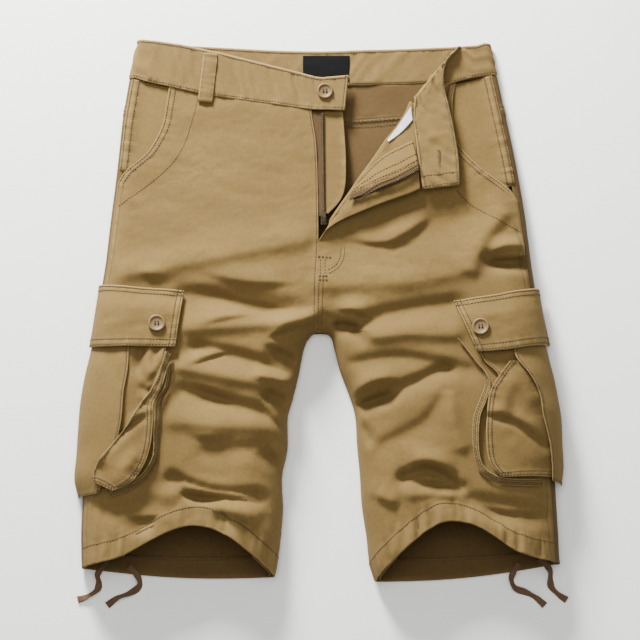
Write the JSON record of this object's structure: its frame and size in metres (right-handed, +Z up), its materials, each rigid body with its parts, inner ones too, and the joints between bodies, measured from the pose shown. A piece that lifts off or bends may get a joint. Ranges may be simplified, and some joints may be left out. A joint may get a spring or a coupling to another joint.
{
  "type": "cargo shorts",
  "caption": "Cotton cargo shorts lying flat with the fly open and one front turned back, with flapped bellows pockets and drawcord hems.",
  "frame": {"origin": "centre of the garment's bounding box, without its cords, on the surface it lies on", "axes": "+X to the wearer's left, +Y to the waist, +Z up out of the front of the shorts as they lie on their back"},
  "size_m": [0.5375, 0.6378, 0.0538],
  "materials": {
    "twill": "matte cotton twill, washed, pale at the edges",
    "twill_band": "matte cotton twill, puckered by its stitching",
    "twill_inside": "matte wrong side of the cotton twill",
    "pocketing": "smooth white pocketing",
    "zip_tape": "woven tape",
    "cord": "flat woven tape cord",
    "label": "plain black woven label, bare",
    "button": "satin four-hole button",
    "zip_metal": "dulled brass-toned metal"
  },
  "bodies": {
    "shorts": {"front_right": "twill", "front_left": "twill", "back_right": "twill_inside", "back_left": "twill_inside", "back_yoke_right": "twill_inside", "back_yoke_left": "twill_inside", "waistband": "twill_band", "label": "label", "belt_loop_right": "twill_band", "hip_facing_right": "twill", "hip_facing_left": "twill", "fly_facing": "twill_inside", "zip_tape_left": "zip_tape", "pocket_bag_left": "pocketing", "fly_shield": "twill", "zip_tape_right": "zip_tape", "flap_right": "twill", "flap_left": "twill", "cargo_side_right": "twill", "cargo_side_left": "twill", "cargo_pleat_right": "twill", "cargo_pleat_left": "twill", "cargo_face_right": "twill", "cargo_face_left": "twill", "cargo_gusset_right": "twill", "cargo_gusset_left": "twill", "hem_casing_right": "twill_inside", "hem_casing_left": "twill_inside", "drawcord_right_outer": "cord", "drawcord_right_inner": "cord", "drawcord_left_inner": "cord", "drawcord_left_outer": "cord", "waist_button": "button", "flap_button_right": "button", "flap_button_left": "button", "zip_slider": "zip_metal"},
    "zip_pull": {"zip_pull_tab": "zip_metal"}
  },
  "joints": [
    {"name": "zip_pull_hinge", "type": "hinge", "parent": "shorts", "child": "zip_pull", "pos_m": [0.00486, 0.09335, 0.02283], "axis": [1, 0, 0], "range_deg": [0, 150]}
  ]
}
